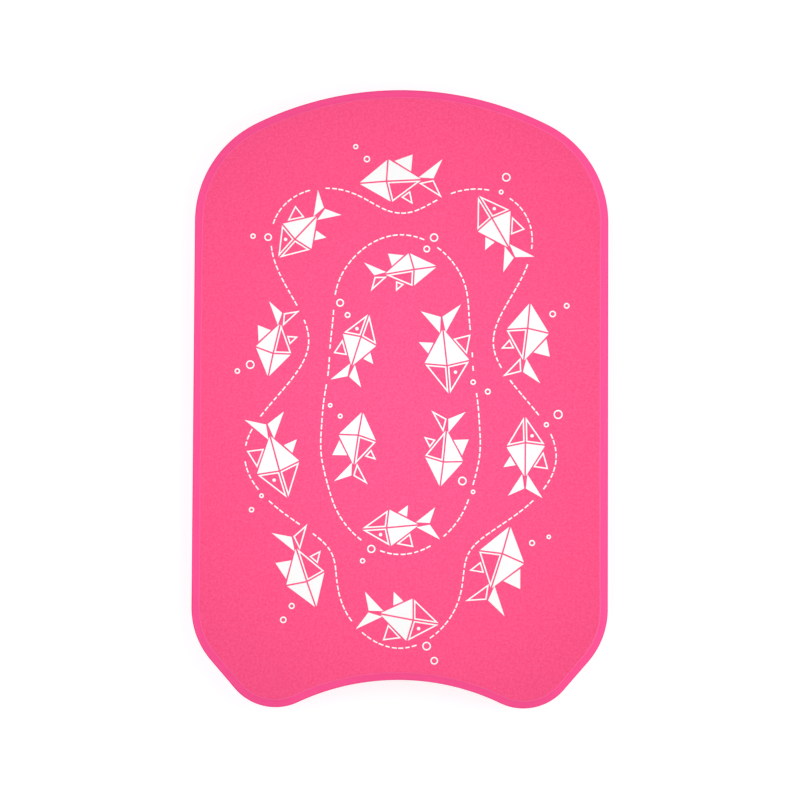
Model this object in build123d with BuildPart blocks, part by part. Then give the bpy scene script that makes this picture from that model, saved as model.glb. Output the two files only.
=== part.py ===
from build123d import *

import os
from math import cos, radians, sin, sqrt, tan

# Laminated swimming kickboard: a slab of closed-cell EVA foam between two thin EVA skins.
# The three sheets are bonded into one block, and the block is then cut to the outline and
# bevelled all round, so that every sheet shows its cut edge in the bevels or the side wall.
#
# Frame: the board lies on its base, Z is up, the nose points along +Y and the tail along -Y.
# The origin is on the base, under the middle of the board's length and width.
# Lengths are in millimetres and angles in degrees.

# Outline, seen from above
board_length = 430.0  # front of the nose to the tips of the tail
shoulder_width = 287.5  # between the corners where the nose meets the sides
hip_width = 290.0  # between the corners where the sides meet the flanks
nose_radius = 229.0
shoulder_radius = 76.5  # rounds the nose into the sides
hip_radius = 56.0  # rounds the sides into the flanks
flank_angle = 49.3  # of the flanks, from straight across the board
tail_tip_inset = 58.7  # from the hip corners in to where each tail tip reaches furthest back
tail_tip_radius = 37.0
scoop_depth = 19.4  # of the hollow between the tail tips

# Sheets, from the base up
base_skin_thickness = 1.5
core_thickness = 32.0
deck_skin_thickness = 1.5

# Edges of the block
bevel_size = 6.3  # at 45 degrees, round both faces
wall_easing_radius = 2.5  # rounds the bevels into the side wall

core_bottom = base_skin_thickness
core_top = core_bottom + core_thickness
board_thickness = core_top + deck_skin_thickness

nose_front = board_length / 2
tail_line = -board_length / 2


def nose_point(across):
    """The point of the nose curve at that distance from the board's middle line."""
    nose_centre_y = nose_front - nose_radius
    return Vector(across, nose_centre_y + sqrt(nose_radius**2 - across**2))


def draw_half_outline():
    """Draws the right half, from the middle of the nose to the middle of the scoop.

    Returns its two sharp corners, the shoulder and the hip. From the flank on, the flank, the
    tail tip and the scoop run smoothly into one another.
    """
    shoulder = nose_point(shoulder_width / 2)
    hip_across = hip_width / 2
    tip_centre = Vector(hip_across - tail_tip_inset, tail_line + tail_tip_radius)

    # The flank touches the tip's circle where that circle faces the way the flank faces.
    flank_out = Vector(sin(radians(flank_angle)), -cos(radians(flank_angle)))
    flank_end = tip_centre + flank_out * tail_tip_radius
    flank_rise = (hip_across - flank_end.X) * tan(radians(flank_angle))
    hip = Vector(hip_across, flank_end.Y + flank_rise)

    # The scoop's circle is centred on the board's middle line and touches the tip's circle. With
    # both radii added up to the reach, reach**2 = tip_centre.X**2 + (reach - scoop_depth)**2.
    reach = (tip_centre.X**2 + scoop_depth**2) / (2 * scoop_depth)
    scoop_radius = reach - tail_tip_radius
    scoop_top = Vector(0, tail_line + scoop_depth)
    scoop_centre = scoop_top - Vector(0, scoop_radius)
    scoop_end = tip_centre + (scoop_centre - tip_centre).normalized() * tail_tip_radius

    ThreePointArc(nose_point(0), nose_point(shoulder.X / 2), shoulder)
    Line(shoulder, hip)
    Line(hip, flank_end)
    tail_tip = ThreePointArc(flank_end, (tip_centre.X, tail_line), scoop_end)
    TangentArc(scoop_end, scoop_top, tangent=tail_tip % 1)
    return shoulder, hip


def pair_level_with(corner, sketch):
    """The sketch's two vertices at the corner's Y, one on each side of the board."""
    return sketch.vertices().sort_by(lambda vertex: abs(vertex.Y - corner.Y))[:2]


# The bonded block, cut to the outline and bevelled
with BuildPart() as block:
    with BuildSketch() as board_face:
        with BuildLine():
            shoulder_corner, hip_corner = draw_half_outline()
            mirror(about=Plane.YZ)
        make_face()
        fillet(pair_level_with(shoulder_corner, board_face), shoulder_radius)
        fillet(pair_level_with(hip_corner, board_face), hip_radius)
    extrude(amount=board_thickness)

    chamfer(block.faces().filter_by(Axis.Z).edges(), bevel_size)

    # By height, the edges now come as rim, bevel seams, wall edge and wall seams, and then
    # as wall edge, bevel seams and rim again.
    edges_by_height = block.edges().group_by(Axis.Z)
    fillet(edges_by_height[2] + edges_by_height[-3], wall_easing_radius)

# The three sheets of the block
with BuildPart() as base_skin:
    add(block.part)
    split(bisect_by=Plane.XY.offset(core_bottom), keep=Keep.BOTTOM)
base_skin.part.label = "base_skin"

with BuildPart() as foam_core:
    add(block.part)
    split(bisect_by=Plane.XY.offset(core_bottom), keep=Keep.TOP)
    split(bisect_by=Plane.XY.offset(core_top), keep=Keep.BOTTOM)
foam_core.part.label = "foam_core"

with BuildPart() as deck_skin:
    add(block.part)
    split(bisect_by=Plane.XY.offset(core_top), keep=Keep.TOP)
deck_skin.part.label = "deck_skin"

os.makedirs("parts", exist_ok=True)
for sheet in (base_skin, foam_core, deck_skin):
    label = sheet.part.label
    export_step(sheet.part, f"parts/{label}.step")
    print(f"{label}: {sheet.part.volume / 1000:.1f} cm3")
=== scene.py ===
import bpy
import numpy as np
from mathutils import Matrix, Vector


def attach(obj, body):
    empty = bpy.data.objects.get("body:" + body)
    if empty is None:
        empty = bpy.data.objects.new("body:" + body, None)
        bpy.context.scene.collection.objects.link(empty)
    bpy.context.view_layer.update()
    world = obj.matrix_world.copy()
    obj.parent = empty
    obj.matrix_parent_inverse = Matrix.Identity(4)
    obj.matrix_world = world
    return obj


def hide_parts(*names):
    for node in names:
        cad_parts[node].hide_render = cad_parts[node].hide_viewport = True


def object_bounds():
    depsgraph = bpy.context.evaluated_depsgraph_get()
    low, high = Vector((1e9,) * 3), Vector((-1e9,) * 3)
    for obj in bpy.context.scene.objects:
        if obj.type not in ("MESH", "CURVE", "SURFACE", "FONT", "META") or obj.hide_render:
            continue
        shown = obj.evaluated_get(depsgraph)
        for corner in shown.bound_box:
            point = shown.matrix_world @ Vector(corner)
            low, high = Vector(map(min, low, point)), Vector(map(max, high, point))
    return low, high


# A pink laminated kickboard that lies flat, printed deck up. The board stands in the model's own
# frame: Z up, the nose towards +Y. Shapes are worked out in millimetres and stored in metres.

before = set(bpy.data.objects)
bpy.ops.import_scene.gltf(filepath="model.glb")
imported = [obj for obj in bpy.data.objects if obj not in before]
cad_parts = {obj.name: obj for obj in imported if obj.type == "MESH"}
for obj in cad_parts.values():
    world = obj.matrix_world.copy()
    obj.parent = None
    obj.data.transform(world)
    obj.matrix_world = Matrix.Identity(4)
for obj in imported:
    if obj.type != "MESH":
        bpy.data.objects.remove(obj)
cadLow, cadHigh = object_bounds()
metresPerMm = 0.001
boardLength = (cadHigh.y - cadLow.y) / metresPerMm
boardThickness = cadHigh.z / metresPerMm
print(f"frame loaded: board {boardLength:.1f} mm long, {boardThickness:.1f} mm thick")


def hexColour(text):
    # sRGB to linear: c / 12.92 below 0.04045, else ((c + 0.055) / 1.055) to the power 2.4
    srgb = np.array([int(text[i:i + 2], 16) / 255 for i in (1, 3, 5)])
    linear = np.where(srgb < 0.04045, srgb / 12.92, ((srgb + 0.055) / 1.055) ** 2.4)
    return (*linear, 1.0)


def addNode(tree, kind, settings=None, links=None):
    # adds one node; settings go to its sockets or properties, links join sockets of other nodes
    node = tree.nodes.new(kind)
    for name, value in (settings or {}).items():
        if isinstance(name, int) or name in node.inputs:
            node.inputs[name].default_value = value
        else:
            setattr(node, name, value)
    for name, socket in (links or {}).items():
        tree.links.new(socket, node.inputs[name])
    return node


def newMaterial(name):
    # an empty material and its node tree
    material = bpy.data.materials.new(name)
    material.use_nodes = True
    material.node_tree.nodes.clear()
    return material, material.node_tree


def perMm(size):
    # texture scale for a pattern whose cells are that many millimetres across, in metre space
    return 1 / (size * metresPerMm)


def meshObject(name, vertices, faces, materials, sharpAngle=None):
    # vertices come in millimetres and go in in metres
    mesh = bpy.data.meshes.new(name)
    mesh.from_pydata((vertices * metresPerMm).tolist(), [], faces)
    for material in materials:
        mesh.materials.append(material)
    if sharpAngle is not None:
        mesh.shade_smooth()
        mesh.set_sharp_from_angle(angle=np.radians(sharpAngle))
    mesh.validate()
    piece = bpy.data.objects.new(name, mesh)
    bpy.context.scene.collection.objects.link(piece)
    return piece


outline = {  # millimetres and degrees, as in the solids
    "shoulderWidth": 287.5,
    "hipWidth": 290.0,
    "noseRadius": 229.0,
    "shoulderRadius": 76.5,
    "hipRadius": 56.0,
    "flankAngle": 49.3,
    "tailTipInset": 58.7,
    "tailTipRadius": 37.0,
    "scoopDepth": 19.4,
    "spacing": 1.5,  # between points along the edge
}


def arcRun(centre, radius, fromAngle, toAngle):
    # a point is centre + radius * normal, while the board's normal turns evenly between the
    # angles; a hollow arc has its centre outside the board and a negative radius
    count = int(abs(radius * (toAngle - fromAngle)) / outline["spacing"]) + 2
    angle = np.linspace(fromAngle, toAngle, count, endpoint=False)
    normal = np.stack([np.cos(angle), np.sin(angle)], axis=1)
    return centre + radius * normal, normal


def lineRun(start, end):
    # evenly spaced points on the straight between two points, all with its normal
    along = end - start
    count = int(np.linalg.norm(along) / outline["spacing"]) + 2
    share = np.linspace(0, 1, count, endpoint=False)[:, None]
    normal = np.array([-along[1], along[0]]) / np.linalg.norm(along)
    return start + share * along, np.repeat(normal[None], count, axis=0)


def boardOutline():
    # The right half as arcs and straights that run smoothly into one another, then its mirror
    # image. Every arc is named by its centre, and joins are where the normals agree.
    noseRadius, shoulderRadius = outline["noseRadius"], outline["shoulderRadius"]
    hipRadius, tipRadius = outline["hipRadius"], outline["tailTipRadius"]
    scoopDepth = outline["scoopDepth"]
    nose = np.array([0.0, boardLength / 2 - noseRadius])
    tip = np.array([outline["hipWidth"] / 2 - outline["tailTipInset"], tipRadius - boardLength / 2])

    # the flank's line touches the tip's circle
    flankAngle = np.radians(outline["flankAngle"] - 90)
    flankNormal = np.array([np.cos(flankAngle), np.sin(flankAngle)])
    flankReach = flankNormal @ tip + tipRadius

    # the side's line runs between the two sharp corners
    across = outline["shoulderWidth"] / 2
    shoulderCorner = np.array([across, nose[1] + np.sqrt(noseRadius ** 2 - across ** 2)])
    across = outline["hipWidth"] / 2
    hipCorner = np.array([across, (flankReach - flankNormal[0] * across) / flankNormal[1]])
    sideNormal = np.array([shoulderCorner[1] - hipCorner[1], hipCorner[0] - shoulderCorner[0]])
    sideNormal = sideNormal / np.linalg.norm(sideNormal)
    sideReach = sideNormal @ hipCorner

    # the shoulder's circle lies one radius inside the side and touches the nose's from within
    inward = sideReach - shoulderRadius - sideNormal @ nose
    along = np.sqrt((noseRadius - shoulderRadius) ** 2 - inward ** 2)
    shoulder = nose + sideNormal * inward + np.array([-sideNormal[1], sideNormal[0]]) * along

    # the hip's circle lies one radius inside both the side and the flank
    hip = np.linalg.solve(
        np.array([sideNormal, flankNormal]),
        np.array([sideReach, flankReach]) - hipRadius)

    # the scoop's circle is centred on the middle line and touches the tip's from outside
    reach = (tip[0] ** 2 + scoopDepth ** 2) / (2 * scoopDepth)
    scoop = np.array([0.0, scoopDepth - boardLength / 2 - reach + tipRadius])
    scoopRadius = reach - tipRadius

    def angleOf(direction):
        return np.arctan2(direction[1], direction[0])

    noseEnd = angleOf(shoulder - nose)
    sideAngle = angleOf(sideNormal)
    tipEnd = angleOf(scoop - tip)
    runs = [
        arcRun(nose, noseRadius, np.pi / 2, noseEnd),
        arcRun(shoulder, shoulderRadius, noseEnd, sideAngle),
        lineRun(shoulder + shoulderRadius * sideNormal, hip + hipRadius * sideNormal),
        arcRun(hip, hipRadius, sideAngle, flankAngle),
        lineRun(hip + hipRadius * flankNormal, tip + tipRadius * flankNormal),
        arcRun(tip, tipRadius, flankAngle, tipEnd),
        arcRun(scoop, -scoopRadius, tipEnd, -np.pi / 2),
    ]
    points = np.concatenate([run[0] for run in runs] + [[[0.0, scoop[1] + scoopRadius]]])
    normals = np.concatenate([run[1] for run in runs] + [[[0.0, -1.0]]])
    mirrored = np.array([-1.0, 1.0])
    points = np.concatenate([points, points[-2:0:-1] * mirrored])
    normals = np.concatenate([normals, normals[-2:0:-1] * mirrored])
    return points, normals


edgePoints, edgeNormals = boardOutline()
edgeSteps = np.linalg.norm(np.roll(edgePoints, -1, axis=0) - edgePoints, axis=1)
edgeTravel = np.concatenate([[0.0], np.cumsum(edgeSteps)[:-1]]) / edgeSteps.sum()
print(f"outline: {len(edgePoints)} points round {edgeSteps.sum():.0f} mm")


edging = {  # millimetres and degrees
    "skin": 1.5,
    "bevel": 6.3,
    "wallEasing": 2.5,
    "creaseRadius": 0.45,  # the deck's crisp edge, softened as a cutter leaves foam
    "seamRadius": 0.16,  # the glued edges of the sheets, which show as a fine line
    "inkDepth": 0.08,  # the deck lies this far down, so that the print ends at full height
    "wander": 0.22,  # how far the cutter strays from the true bevel
    "wanderTurns": (3, 7, 19),  # waves of that round the edge
    "sharpAngle": 40,  # an edge that turns by more than this stays sharp
    "faceLead": 0.4,  # from a face's rounding in to its next row
    "openRows": (0.97, 0.9, 0.75, 0.6, 0.45, 0.3, 0.18, 0.08, 0.02, 0),  # shares of the way in
    "gluedRows": (0.97, 0.3, 0),  # the same for a face that is glued to the next sheet
    "creaseRows": 6,  # rows round each rounding
    "skinSeamRows": 6,
    "coreSeamRows": 4,
    "easingRows": 8,
}


def cutterWander():
    # a sum of sines round the edge, each a whole number of waves, weaker as they get shorter
    turns = np.array(edging["wanderTurns"], float)
    waves = np.sin(2 * np.pi * turns[:, None] * edgeTravel + turns[:, None])
    return edging["wander"] * (waves * (turns[0] / turns[:, None])).sum(axis=0)


def arcRows(inset, height, radius, fromAngle, toAngle, count):
    # rows of a rounding: its centre is inset, height; the angle is the normal's above level
    angle = np.radians(np.linspace(fromAngle, toAngle, count))
    return np.stack([
        inset - radius * np.cos(angle),
        np.zeros(count),
        height + radius * np.sin(angle)], axis=1)


def roundingLead(radius, turn):
    # a rounding starts radius * tan(turn / 2) before the corner where the faces turn that far
    return radius * np.tan(np.radians(turn / 2))


def faceRows(inset, height, shrinks):
    # rows of a flat face: the edge moved in past its rounding, then drawn towards the middle
    shrinks = np.array(shrinks, float)
    ones = np.ones(len(shrinks))
    return np.stack([(inset + edging["faceLead"]) * ones, shrinks, height * ones], axis=1)


def turnedOver(rows):
    # the same rows mirrored about the board's middle height, in the order that still runs down
    return rows[::-1] * [1, 1, -1] + [0, 0, boardThickness]


def boardBody(name, rows, materials, cutRows):
    # A closed body of rows that all follow the outline. A point is
    # (edge - normal * (inset + wander * weight)) * (1 - shrink), at the row's height. The weight
    # is the root of inset / bevel, so that the wander fades out towards the wall. The first and
    # last rows close on a pole. Faces between the two cut rows take the second material.
    inset, shrink, height = rows.T
    weight = np.clip(inset / edging["bevel"], 0, 1) ** 0.5
    moved = inset[:, None] + weight[:, None] * cutterWander()
    flat = (edgePoints[None] - edgeNormals[None] * moved[..., None]) * (1 - shrink)[:, None, None]
    count, points = len(rows), len(edgePoints)
    heights = np.broadcast_to(height[:, None, None], (count, points, 1))
    ring = np.concatenate([flat, heights], axis=2).reshape(-1, 3)
    poles = np.array([[0.0, 0.0, height[0]], [0.0, 0.0, height[-1]]])
    vertices = np.concatenate([ring, poles])

    row, column = np.meshgrid(np.arange(count - 1), np.arange(points), indexing="ij")
    following = (column + 1) % points
    quads = np.stack([
        row * points + column,
        row * points + following,
        (row + 1) * points + following,
        (row + 1) * points + column], axis=-1).reshape(-1, 4)
    step = np.arange(points)
    after = (step + 1) % points
    first, last = count * points, count * points + 1
    foot = (count - 1) * points
    topFan = np.stack([np.full(points, first), after, step], axis=1)
    footFan = np.stack([np.full(points, last), foot + step, foot + after], axis=1)
    faces = quads.tolist() + topFan.tolist() + footFan.tolist()
    body = meshObject(name, vertices, faces, materials, edging["sharpAngle"])
    slots = np.zeros(len(faces), np.int32)
    slots[:len(quads)] = (row.ravel() >= cutRows[0]) & (row.ravel() < cutRows[1])
    body.data.polygons.foreach_set("material_index", slots)
    return body


def skinRows(top, foot):
    # a sheet from the middle of its outer face, over the crease, down the bevel to the glued
    # foot and back to the middle, and the two rows that its cut edge lies between. Top and foot
    # are heights; the bevel drops a millimetre for every millimetre outwards.
    bevelAt = edging["bevel"] - boardThickness
    crease, seam = edging["creaseRadius"], edging["seamRadius"]
    creaseInset = bevelAt + top + roundingLead(crease, 45)
    footInset = bevelAt + foot + roundingLead(seam, 135)
    outer = faceRows(creaseInset, top, edging["openRows"])
    over = arcRows(creaseInset, top - crease, crease, 90, 45, edging["creaseRows"])
    lower = arcRows(footInset, foot + seam, seam, 45, -90, edging["skinSeamRows"])
    inner = faceRows(footInset, foot, edging["gluedRows"][::-1])
    cutStart = len(outer) + len(over) - 1
    return np.concatenate([outer, over, lower, inner]), (cutStart, cutStart + len(lower))


def coreRows():
    # the slab from the middle of its upper face: glued edge, bevel, easing, wall, and the same
    # turned over; and the two rows that the wall lies between, with both its easings
    foot = boardThickness - edging["skin"]
    seam, easing = edging["seamRadius"], edging["wallEasing"]
    seamInset = edging["bevel"] - edging["skin"] + roundingLead(seam, 45)
    easingHeight = boardThickness - edging["bevel"] - roundingLead(easing, 45)
    upper = np.concatenate([
        faceRows(seamInset, foot, edging["gluedRows"]),
        arcRows(seamInset, foot - seam, seam, 90, 45, edging["coreSeamRows"]),
        arcRows(easing, easingHeight, easing, 45, 0, edging["easingRows"])])
    wallStart = len(upper) - edging["easingRows"]
    return np.concatenate([upper, turnedOver(upper)]), (wallStart, 2 * len(upper) - 1 - wallStart)


# Closed-cell EVA, calendered into sheet and pressed against a grained belt: a matt rubbery skin
# with a fine pebble that scatters the light, so it shows no clear reflection.
def pressedEvaSkin():
    material, tree = newMaterial("pressedEvaSkin")
    place = addNode(tree, "ShaderNodeTexCoord")
    # pebble of the belt, about 1.6 mm
    grain = addNode(tree, "ShaderNodeTexNoise",
                    {"Scale": perMm(1.6), "Detail": 2.0, "Roughness": 0.6},
                    {"Vector": place.outputs["Object"]})
    grainShare = addNode(tree, "ShaderNodeMapRange", {"From Min": 0.3, "From Max": 0.7},
                         {"Value": grain.outputs["Fac"]})
    colour = addNode(tree, "ShaderNodeMix",
                     {"data_type": "RGBA", 6: hexColour("#FC487E"), 7: hexColour("#FF5A8E")},
                     {0: grainShare.outputs["Result"]})
    # single cells of the foam under the skin, about 0.8 mm
    cells = addNode(tree, "ShaderNodeTexVoronoi", {"Scale": perMm(0.8)},
                    {"Vector": place.outputs["Object"]})
    relief = addNode(tree, "ShaderNodeMath", {"operation": "MULTIPLY_ADD", 1: 0.5},
                     {0: cells.outputs["Distance"], 2: grain.outputs["Fac"]})
    bump = addNode(tree, "ShaderNodeBump", {"Strength": 0.45, "Distance": 0.12 * metresPerMm},
                   {"Height": relief.outputs["Value"]})
    shader = addNode(tree, "ShaderNodeBsdfPrincipled",
                     {"Roughness": 0.72, "IOR": 1.48, "Specular IOR Level": 0.25},
                     {"Base Color": colour.outputs[2], "Normal": bump.outputs["Normal"]})
    addNode(tree, "ShaderNodeOutputMaterial", links={"Surface": shader.outputs["BSDF"]})
    return material


# Closed-cell EVA where a blade or router has cut it: opened cells make a dry and slightly bluer
# pink than the skin, with pores about 0.6 mm across and faint streaks along the cut, which runs
# level round the board. The thin skins' edge is paler than the core's bevel, partly cut foam and
# partly a painted highlight along the deck's crease. The wall is deeper than both: painted shade.
def cutEva(name, darkHex, paleHex):
    material, tree = newMaterial(name)
    place = addNode(tree, "ShaderNodeTexCoord")
    pores = addNode(tree, "ShaderNodeTexVoronoi", {"Scale": perMm(0.6)},
                    {"Vector": place.outputs["Object"]})
    poreShare = addNode(tree, "ShaderNodeMapRange", {"From Min": 0.1, "From Max": 0.5},
                        {"Value": pores.outputs["Distance"]})
    # streaks about 33 mm long and 0.8 mm high
    stretch = addNode(tree, "ShaderNodeMapping",
                      {"Scale": (perMm(33.3), perMm(33.3), perMm(0.8))},
                      {"Vector": place.outputs["Object"]})
    streaks = addNode(tree, "ShaderNodeTexNoise", {"Scale": 1.0, "Detail": 3.0},
                      {"Vector": stretch.outputs["Vector"]})
    tone = addNode(tree, "ShaderNodeMath", {"operation": "MULTIPLY_ADD", 1: 0.6},
                   {0: poreShare.outputs["Result"], 2: streaks.outputs["Fac"]})
    toneShare = addNode(tree, "ShaderNodeMapRange", {"From Min": 0.45, "From Max": 1.1},
                        {"Value": tone.outputs["Value"]})
    colour = addNode(tree, "ShaderNodeMix",
                     {"data_type": "RGBA", 6: hexColour(darkHex), 7: hexColour(paleHex)},
                     {0: toneShare.outputs["Result"]})
    bump = addNode(tree, "ShaderNodeBump", {"Strength": 0.4, "Distance": 0.15 * metresPerMm},
                   {"Height": tone.outputs["Value"]})
    shader = addNode(tree, "ShaderNodeBsdfPrincipled",
                     {"Roughness": 0.85, "IOR": 1.48, "Specular IOR Level": 0.2},
                     {"Base Color": colour.outputs[2], "Normal": bump.outputs["Normal"]})
    addNode(tree, "ShaderNodeOutputMaterial", links={"Surface": shader.outputs["BSDF"]})
    return material


skinMaterial = pressedEvaSkin()
# the skin edge's paler tone is partly cut foam and partly a painted highlight along the deck's crease
skinEdgeAndHighlightMaterial = cutEva("cutEvaSkinEdgeAndHighlight", "#FF538E", "#FF5D98")
coreMaterial = cutEva("cutEvaCore", "#FF4789", "#FF5195")
# the wall's darker colour is painted shade on the board's upright side
wallPaintedShadeMaterial = cutEva("evaWallPaintedShade", "#EC3F7D", "#F24987")

deckTop = boardThickness - edging["inkDepth"]
deckRows, deckCut = skinRows(deckTop, boardThickness - edging["skin"])
deckSheet = boardBody("deckSheet", deckRows, [skinMaterial, skinEdgeAndHighlightMaterial], deckCut)
slabRows, slabWall = coreRows()
coreSlab = boardBody("coreSlab", slabRows, [coreMaterial, wallPaintedShadeMaterial], slabWall)
baseRows, baseCut = skinRows(boardThickness, boardThickness - edging["skin"])
baseCut = [len(baseRows) - 1 - row for row in baseCut[::-1]]
baseSheet = boardBody("baseSheet", turnedOver(baseRows), [skinMaterial, skinEdgeAndHighlightMaterial], baseCut)
for piece, node in ((deckSheet, "deck_skin"), (coreSlab, "foam_core"), (baseSheet, "base_skin")):
    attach(piece, "root")
    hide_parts(node)
print("sheets done")


shoal = {  # millimetres, degrees and counts
    # two shoals that circle the deck's middle in opposite senses, each with a dashed line: the
    # outer one weaves to both sides to pass its fish, the inner one drifts outside them all
    "rings": (
        {"across": 87.0, "along": 151.0, "drift": 0.0, "weave": 22.0, "fish": 10, "sense": 1},
        {"across": 31.0, "along": 88.0, "drift": 22.0, "weave": 3.0, "fish": 6, "sense": -1},
    ),
    "squareness": 2.7,  # power of the rings' ovals; 2 is an ellipse
    "step": 0.5,  # between points along a line
    "lengths": (52.0, 66.0),
    "slimness": (0.95, 1.12),
    "tilt": 14.0,
    "clearance": 2.8,  # bare deck between a fish or bubble and the dashed line
    "lineWidth": 0.95,
    "facetGap": 1.1,
    "eye": 1.2,
    "dash": 3.4,
    "dashGap": 1.3,
    "dashStations": 5,
    "bubbles": (1.6, 3.2),  # smallest and largest radius
    "ringSamples": 2880,  # points worked out round an oval before it is walked at even steps
    "circleCorners": 24,
    "sideShares": 4,  # of a drawn side, each with a point that the dashed line keeps off
    "inkReach": 1.6,  # how far down the ink goes, in ink depths, so that its foot is in the deck
    "seed": 11,
}
inkTop = boardThickness

# A fish of unit length with its nose towards +X and its back towards +Y
fishCorners = np.array([
    [0.50, 0.00],  # 0 nose
    [0.14, 0.26],  # 1 brow
    [0.17, 0.01],  # 2 gill
    [0.12, -0.23],  # 3 throat
    [-0.25, 0.01],  # 4 tail root
    [-0.17, 0.03],  # 5 upper fluke's root
    [-0.50, 0.25],  # 6 its tip
    [-0.37, 0.01],  # 7 fork of the tail
    [-0.17, -0.02],  # 8 lower fluke's root
    [-0.47, -0.22],  # 9 its tip
    [0.09, 0.23],  # 10 front of the back fin
    [-0.12, 0.09],  # 11 its rear
    [-0.15, 0.30],  # 12 its tip
    [0.03, -0.17],  # 13 front of the belly fin
    [-0.10, -0.09],  # 14 its rear
    [-0.13, -0.27],  # 15 its tip
])
fishEye = np.array([0.25, 0.09])
fishBubbles = np.array([[0.38, 0.26], [0.50, 0.40]])
headFacets = [[0, 1, 2], [0, 2, 3]]
bodyFacets = [[1, 4, 2], [2, 4, 3]]
tailFacets = [[5, 6, 7], [8, 7, 9]]
finFacets = [[10, 11, 12], [13, 14, 15]]
fishKinds = (  # which facets are filled, and which are drawn as a line
    {"filled": headFacets + bodyFacets[:1] + tailFacets[:1] + finFacets[:1],
     "lined": bodyFacets[1:] + tailFacets[1:] + finFacets[1:], "eye": False},
    {"filled": bodyFacets + tailFacets + finFacets[1:],
     "lined": headFacets + finFacets[:1], "eye": True},
)


def shrunkTriangles(triangles, amount):
    # every side moves in by the amount: corners are drawn towards the incentre by amount / inradius
    a, b, c = (triangles[:, i] for i in range(3))
    sides = np.stack([
        np.linalg.norm(b - c, axis=1),
        np.linalg.norm(c - a, axis=1),
        np.linalg.norm(a - b, axis=1)], axis=1)
    perimeter = sides.sum(axis=1)
    incentre = (triangles * sides[..., None]).sum(axis=1) / perimeter[:, None]
    u, v = b - a, c - a
    inradius = np.abs(u[:, 0] * v[:, 1] - u[:, 1] * v[:, 0]) / perimeter
    keep = 1 - amount / inradius
    return incentre[:, None] + (triangles - incentre[:, None]) * keep[:, None, None]


def anticlockwise(loops):
    # turns round the loops whose signed area, half the sum of x * next y - next x * y, is negative
    x, y = loops[..., 0], loops[..., 1]
    area = (x * np.roll(y, -1, axis=1) - np.roll(x, -1, axis=1) * y).sum(axis=1)
    return np.where((area < 0)[:, None, None], loops[:, ::-1], loops)


def circles(centres, radii):
    # round loops: centre + radius * (cos, sin)
    turn = np.linspace(0, 2 * np.pi, shoal["circleCorners"], endpoint=False)
    unit = np.stack([np.cos(turn), np.sin(turn)], axis=1)
    return centres[:, None] + unit * radii[:, None, None]


def withHeights(loops):
    # each loop at the ink's foot, a little under the deck, and at its top
    levels = np.array([inkTop - shoal["inkReach"] * edging["inkDepth"], inkTop])
    stacked = np.repeat(loops[:, None], 2, axis=1)
    heights = np.broadcast_to(levels[None, :, None, None], (*stacked.shape[:3], 1))
    return np.concatenate([stacked, heights], axis=3)


def inkPatches(loops):
    # filled islands: a loop's top, its foot turned over, and a wall from each corner to the next
    loops = anticlockwise(loops)
    count, corners = loops.shape[:2]
    index = np.arange(count * 2 * corners).reshape(count, 2, corners)
    following = np.roll(index, -1, axis=2)
    walls = np.stack([index[:, 0], following[:, 0], following[:, 1], index[:, 1]], axis=-1)
    return withHeights(loops).reshape(-1, 3), [index[:, 1], index[:, 0, ::-1], walls.reshape(-1, 4)]


def inkRings(outer, inner):
    # drawn lines that close on themselves: flat bands between two loops, with both their walls
    outer, inner = anticlockwise(outer), anticlockwise(inner)
    count, corners = outer.shape[:2]
    points = np.stack([withHeights(outer), withHeights(inner)], axis=1)
    index = np.arange(count * 4 * corners).reshape(count, 4, corners)
    following = np.roll(index, -1, axis=2)
    # once round the section: outer foot, outer top, inner top, inner foot
    section = [0, 1, 3, 2]
    bands = [
        np.stack([index[:, a], following[:, a], following[:, b], index[:, b]], axis=-1).reshape(-1, 4)
        for a, b in zip(section, section[1:] + section[:1])]
    return points.reshape(-1, 3), bands


def evenSteps(points):
    # a closed line walked again at even steps, its points read off by distance travelled
    closed = np.concatenate([points, points[:1]])
    travel = np.concatenate([[0.0], np.cumsum(np.linalg.norm(np.diff(closed, axis=0), axis=1))])
    stations = np.linspace(0, travel[-1], round(travel[-1] / shoal["step"]), endpoint=False)
    return np.stack([np.interp(stations, travel, closed[:, i]) for i in (0, 1)], axis=1)


def leftOf(points):
    # unit vectors to the left of a closed line's way ahead
    ahead = np.roll(points, -1, axis=0) - np.roll(points, 1, axis=0)
    left = np.stack([-ahead[:, 1], ahead[:, 0]], axis=1)
    return left / np.linalg.norm(left, axis=1, keepdims=True)


def calmed(points, waves):
    # a closed line rebuilt from its longest waves alone, so that no kink is left in it
    spectrum = np.fft.rfft(points, axis=0)
    spectrum[waves:] = 0
    return np.fft.irfft(spectrum, len(points), axis=0)


def ringLine(ring):
    # the oval |x / across| ^ n + |y / along| ^ n = 1, followed in the ring's sense
    turn = ring["sense"] * np.linspace(0, 2 * np.pi, shoal["ringSamples"], endpoint=False)
    unit = np.stack([np.cos(turn), np.sin(turn)], axis=1)
    unit = np.sign(unit) * np.abs(unit) ** (2 / shoal["squareness"])
    return evenSteps(unit * [ring["across"], ring["along"]])


def fishOn(ring, rng):
    # fish evenly spaced round a ring, noses ahead and backs outwards
    line, count = ringLine(ring), ring["fish"]
    index = np.round((np.arange(count) + 0.5) / count * len(line)).astype(int)
    left = leftOf(line)[index]
    tilt = np.radians(rng.uniform(-shoal["tilt"], shoal["tilt"], count))
    return {
        "centre": line[index],
        "heading": np.arctan2(-left[:, 0], left[:, 1]) + tilt,
        "length": rng.uniform(*shoal["lengths"], count),
        "height": rng.uniform(*shoal["slimness"], count) * -ring["sense"],
    }


def placed(fish, shape):
    # a shape of unit length, scaled to each fish's length and height, turned and moved
    scaled = shape * np.stack([fish["length"], fish["length"] * fish["height"]], axis=1)[:, None]
    cos, sin = np.cos(fish["heading"])[:, None], np.sin(fish["heading"])[:, None]
    x, y = scaled[..., 0], scaled[..., 1]
    return np.stack([x * cos - y * sin, x * sin + y * cos], axis=-1) + fish["centre"][:, None]


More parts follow.
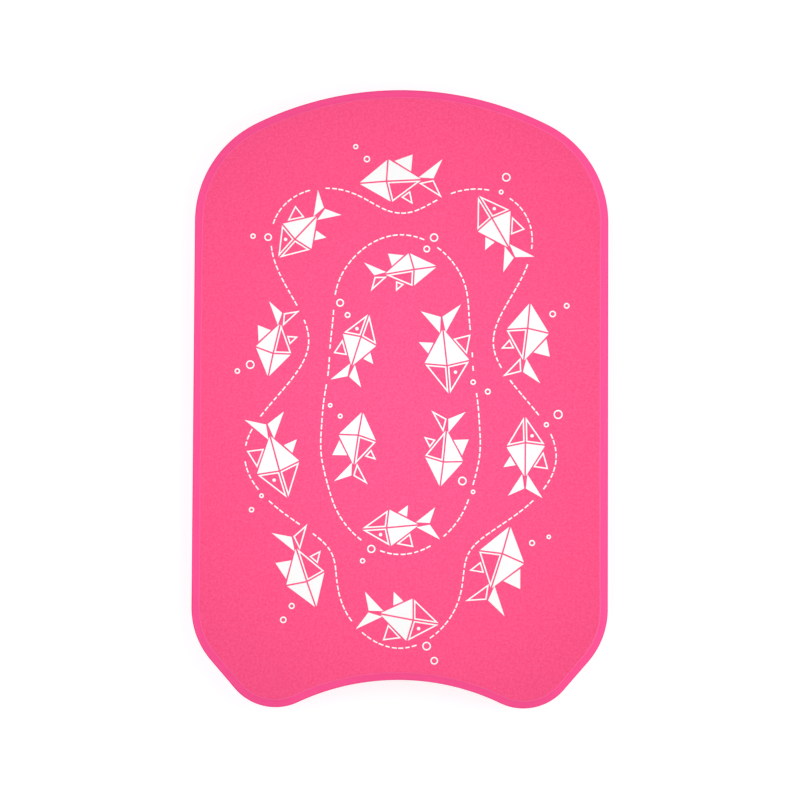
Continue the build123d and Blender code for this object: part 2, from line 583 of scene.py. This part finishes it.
def fishLoops(fish, rng):
    # the filled loops, and the outer and inner loops of what is drawn as a line
    half, full = shoal["facetGap"] / 2, shoal["facetGap"] / 2 + shoal["lineWidth"]
    filled, lined = [], []
    for first, kind in enumerate(fishKinds):
        some = {name: values[first::len(fishKinds)] for name, values in fish.items()}
        corners = placed(some, fishCorners)
        filled.append(shrunkTriangles(corners[:, kind["filled"]].reshape(-1, 3, 2), half))
        facets = corners[:, kind["lined"]].reshape(-1, 3, 2)
        lined.append((shrunkTriangles(facets, half), shrunkTriangles(facets, full)))
        if kind["eye"]:
            eyes = placed(some, fishEye[None]).reshape(-1, 2)
            filled.append(circles(eyes, np.full(len(eyes), shoal["eye"])))
    bubbles = placed(fish, fishBubbles).reshape(-1, 2)
    radius = rng.uniform(*shoal["bubbles"], len(bubbles))
    lined.append((circles(bubbles, radius), circles(bubbles, radius - shoal["lineWidth"])))
    return filled, lined


def sidePoints(loops):
    # evenly spaced points along each side of each loop
    share = np.arange(shoal["sideShares"])[:, None] / shoal["sideShares"]
    ahead = np.roll(loops, -1, axis=1)
    return (loops[:, :, None] * (1 - share) + ahead[:, :, None] * share).reshape(-1, 2)


def dashLoops(ring, keepOff):
    # The dashed line is ring + left * (drift + weave * sin(pi * fish * share of the way round)),
    # so its weave swings to the other side at each fish, and calmed to two waves a fish. Dashes
    # near a point to keep off are left out. Each is a strip through its stations, half a line
    # width to either side.
    line = ringLine(ring)
    wave = np.sin(np.pi * ring["fish"] * np.arange(len(line)) / len(line))
    line = line + leftOf(line) * (ring["drift"] + ring["weave"] * wave[:, None])
    line = evenSteps(calmed(line, 2 * ring["fish"]))
    count = round(len(line) * shoal["step"] / (shoal["dash"] + shoal["dashGap"]))
    starts = np.arange(count) / count * len(line)
    reach = np.linspace(0, shoal["dash"] / shoal["step"], shoal["dashStations"])
    index = np.round(starts[:, None] + reach).astype(int)
    centre, left = line[index % len(line)], leftOf(line)[index % len(line)]
    away = np.linalg.norm(centre[:, :, None] - keepOff, axis=-1)
    clear = (away > shoal["clearance"]).all(axis=(1, 2))
    side = left[clear] * shoal["lineWidth"] / 2
    return np.concatenate([centre[clear] + side, (centre[clear] - side)[:, ::-1]], axis=1)


# Screen-printed white ink: an opaque film that dries smoother than the foam, with a slight sheen
# and, here and there, a pinhole where the pebble kept the ink from closing.
def screenInk():
    material, tree = newMaterial("screenPrintInk")
    place = addNode(tree, "ShaderNodeTexCoord")
    spots = addNode(tree, "ShaderNodeTexVoronoi", {"Scale": perMm(5.0)},
                    {"Vector": place.outputs["Object"]})
    hole = addNode(tree, "ShaderNodeMath", {"operation": "LESS_THAN", 1: 0.035},
                   {0: spots.outputs["Distance"]})
    colour = addNode(tree, "ShaderNodeMix",
                     {"data_type": "RGBA", 6: hexColour("#F8F7F7"), 7: hexColour("#FFB9CF")},
                     {0: hole.outputs["Value"]})
    grain = addNode(tree, "ShaderNodeTexNoise", {"Scale": perMm(1.6), "Detail": 2.0},
                    {"Vector": place.outputs["Object"]})
    bump = addNode(tree, "ShaderNodeBump", {"Strength": 0.2, "Distance": 0.08 * metresPerMm},
                   {"Height": grain.outputs["Fac"]})
    shader = addNode(tree, "ShaderNodeBsdfPrincipled",
                     {"Roughness": 0.5, "IOR": 1.5, "Specular IOR Level": 0.3},
                     {"Base Color": colour.outputs[2], "Normal": bump.outputs["Normal"]})
    addNode(tree, "ShaderNodeOutputMaterial", links={"Surface": shader.outputs["BSDF"]})
    return material


def deckPrintPiece():
    # the whole print as one piece: every loop's own vertices and faces, one after another
    rng = np.random.default_rng(shoal["seed"])
    filled, lined = [], []
    for ring in shoal["rings"]:
        ringFilled, ringLined = fishLoops(fishOn(ring, rng), rng)
        filled += ringFilled
        lined += ringLined
    shapes = filled + [pair[0] for pair in lined]
    keepOff = np.concatenate([sidePoints(loops) for loops in shapes])
    filled += [dashLoops(ring, keepOff) for ring in shoal["rings"]]

    ink = [inkPatches(loops) for loops in filled] + [inkRings(*pair) for pair in lined]
    vertices, faces, used = [], [], 0
    for points, groups in ink:
        vertices.append(points)
        faces += [face for group in groups for face in (group + used).tolist()]
        used += len(points)
    print(f"print: {sum(ring['fish'] for ring in shoal['rings'])} fish, {len(faces)} faces of ink")
    return meshObject("deckPrint", np.concatenate(vertices), faces, [screenInk()])


deckPrint = deckPrintPiece()
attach(deckPrint, "root")


studio = {  # millimetres and degrees, and strengths as the world and the lamps take them
    "lens": 200.0,
    "sensor": 36.0,
    "frameWidth": 556.6,  # what the picture spans at the height of the board's widest line
    "roll": 0.3,
    "aim": (-0.5, -0.7),
    "sky": 2.8,  # brightness of the level sky
    "skyPower": 4.0,  # how fast it darkens with height
    "floorDrop": 0.3,
    "floorReach": 6000.0,
    "floorLift": 0.77,  # added to the floor for the camera alone
}
lamps = {  # millimetres and watts
    "overhead": {"place": (0.0, 0.0, 320.0), "size": (150.0, 260.0), "power": 0.425},
    "right": {"place": (1300.0, 100.0, 750.0), "size": (800.0, 800.0), "power": 5.8},
    "left": {"place": (-1300.0, 0.0, 750.0), "size": (800.0, 800.0), "power": 3.0},
}


def addCamera():
    data = bpy.data.cameras.new("camera")
    data.lens = studio["lens"]
    data.sensor_width = studio["sensor"]
    camera = bpy.data.objects.new("camera", data)
    bpy.context.scene.collection.objects.link(camera)
    widest = boardThickness - edging["bevel"]
    distance = studio["frameWidth"] * studio["lens"] / studio["sensor"]
    camera.location = Vector((*studio["aim"], widest + distance)) * metresPerMm
    camera.rotation_euler = (0, 0, np.radians(studio["roll"]))
    bpy.context.scene.camera = camera


def addSoftbox(name, place, size, power):
    # an oblong area lamp that looks at the board's middle and isn't seen itself
    data = bpy.data.lights.new(name, "AREA")
    data.shape = "RECTANGLE"
    data.size, data.size_y = Vector(size) * metresPerMm
    data.energy = power
    lamp = bpy.data.objects.new(name, data)
    bpy.context.scene.collection.objects.link(lamp)
    lamp.location = Vector(place) * metresPerMm
    lamp.rotation_euler = (-Vector(place)).to_track_quat("-Z", "Y").to_euler()
    lamp.visible_camera = False


# Matt background paper, grey enough to throw only a little light back at the board's wall. To the
# camera alone it also glows, so that it reads as white with the board's soft shadow on it.
def addFloor():
    material, tree = newMaterial("studioPaper")
    ray = addNode(tree, "ShaderNodeLightPath")
    lift = addNode(tree, "ShaderNodeMath", {"operation": "MULTIPLY", 1: studio["floorLift"]},
                   {0: ray.outputs["Is Camera Ray"]})
    shader = addNode(tree, "ShaderNodeBsdfPrincipled",
                     {"Base Color": hexColour("#B4B4B4"), "Roughness": 0.9,
                      "Specular IOR Level": 0.0, "Emission Color": (1, 1, 1, 1)},
                     {"Emission Strength": lift.outputs["Value"]})
    addNode(tree, "ShaderNodeOutputMaterial", links={"Surface": shader.outputs["BSDF"]})
    corners = np.array([[-1, -1], [1, -1], [1, 1], [-1, 1]]) * studio["floorReach"]
    corners = np.concatenate([corners, np.full((4, 1), -studio["floorDrop"])], axis=1)
    meshObject("floor", corners, [[0, 1, 2, 3]], [material])


def setWorld():
    world = bpy.data.worlds.new("studio")
    bpy.context.scene.world = world
    world.use_nodes = True
    tree = world.node_tree
    tree.nodes.clear()
    # brightness is sky * (1 - z squared) ^ skyPower, z being how steeply the ray climbs; the
    # camera itself sees plain white
    place = addNode(tree, "ShaderNodeTexCoord")
    axes = addNode(tree, "ShaderNodeSeparateXYZ", links={"Vector": place.outputs["Generated"]})
    climb = addNode(tree, "ShaderNodeMath", {"operation": "POWER", 1: 2.0},
                    {0: axes.outputs["Z"]})
    level = addNode(tree, "ShaderNodeMath", {"operation": "SUBTRACT", 0: 1.0},
                    {1: climb.outputs["Value"]})
    falloff = addNode(tree, "ShaderNodeMath", {"operation": "POWER", 1: studio["skyPower"]},
                      {0: level.outputs["Value"]})
    sky = addNode(tree, "ShaderNodeMath", {"operation": "MULTIPLY", 1: studio["sky"]},
                  {0: falloff.outputs["Value"]})
    ray = addNode(tree, "ShaderNodeLightPath")
    strength = addNode(tree, "ShaderNodeMapRange", {"To Max": 1.0},
                       {"Value": ray.outputs["Is Camera Ray"], "To Min": sky.outputs["Value"]})
    background = addNode(tree, "ShaderNodeBackground", {"Color": (1, 1, 1, 1)},
                         {"Strength": strength.outputs["Result"]})
    addNode(tree, "ShaderNodeOutputWorld", links={"Surface": background.outputs["Background"]})


addCamera()
addFloor()
setWorld()
for name, lamp in lamps.items():
    addSoftbox(name, **lamp)
bpy.context.scene.view_settings.view_transform = "Standard"
print("studio done")
